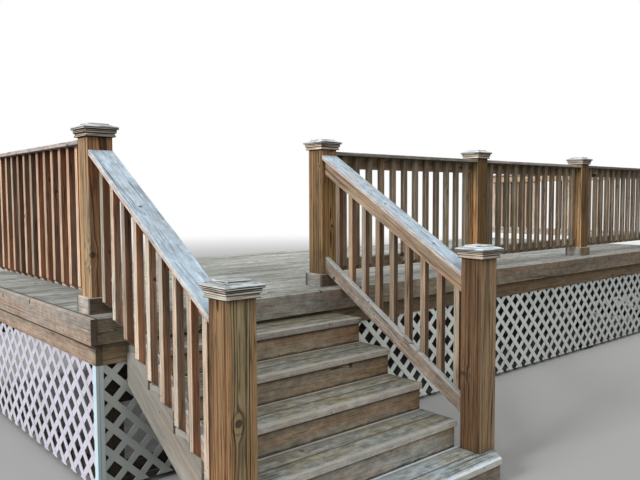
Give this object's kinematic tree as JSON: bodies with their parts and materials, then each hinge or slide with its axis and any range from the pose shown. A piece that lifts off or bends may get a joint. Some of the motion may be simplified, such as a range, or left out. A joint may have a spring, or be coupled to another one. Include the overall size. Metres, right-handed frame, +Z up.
{
  "type": "timber deck with stairs",
  "caption": "Raised timber deck with a straight flight of stairs, newels with moulded caps, baluster guard rails and a white lattice skirt.",
  "frame": {"origin": "on the ground, in the middle of the outline in plan", "axes": "+Z up, +Y from the foot of the stairs towards the wall behind the deck, +X along the front of the deck to the right"},
  "size_m": [7.295, 4.093, 2.001],
  "materials": {
    "deck_board": "weathered, unpainted",
    "fascia": "weathered, unpainted",
    "rim": "weathered, unpainted",
    "framing": "weathered, unpainted",
    "stringer": "weathered, unpainted",
    "riser": "weathered, unpainted",
    "tread": "weathered, unpainted",
    "post": "weathered, unpainted",
    "cap": "weathered, unpainted",
    "collar": "weathered, unpainted",
    "handrail": "weathered, unpainted",
    "rail": "weathered, unpainted",
    "baluster": "weathered, unpainted",
    "lattice": "satin white"
  },
  "bodies": {
    "root": {"deck_boards": "deck_board", "fascia_front": "fascia", "fascia_sides": "fascia", "rims_long": "rim", "rims_side": "rim", "joists": "framing", "beams": "framing", "support_posts": "framing", "stringer_left": "stringer", "stringer_middle": "stringer", "stringer_right": "stringer", "risers": "riser", "step_sides": "stringer", "tread_1": "tread", "tread_2": "tread", "tread_3": "tread", "tread_4": "tread", "tread_5": "tread", "newel_top_left": "post", "newel_top_right": "post", "newel_low_left": "post", "newel_low_right": "post", "rail_posts": "post", "wall_posts": "post", "post_caps": "cap", "post_collars": "collar", "handrail_left": "handrail", "handrail_right": "handrail", "stair_subrails": "rail", "stair_low_rails": "rail", "stair_balusters_left": "baluster", "stair_balusters_right": "baluster", "level_handrails": "handrail", "level_subrails": "rail", "level_low_rails": "rail", "front_balusters": "baluster", "side_balusters": "baluster", "lattice_front_1": "lattice", "lattice_front_2": "lattice", "lattice_front_3": "lattice", "lattice_left": "lattice", "lattice_right": "lattice", "lattice_trim": "lattice", "skirt_rails": "framing"}
  },
  "joints": []
}
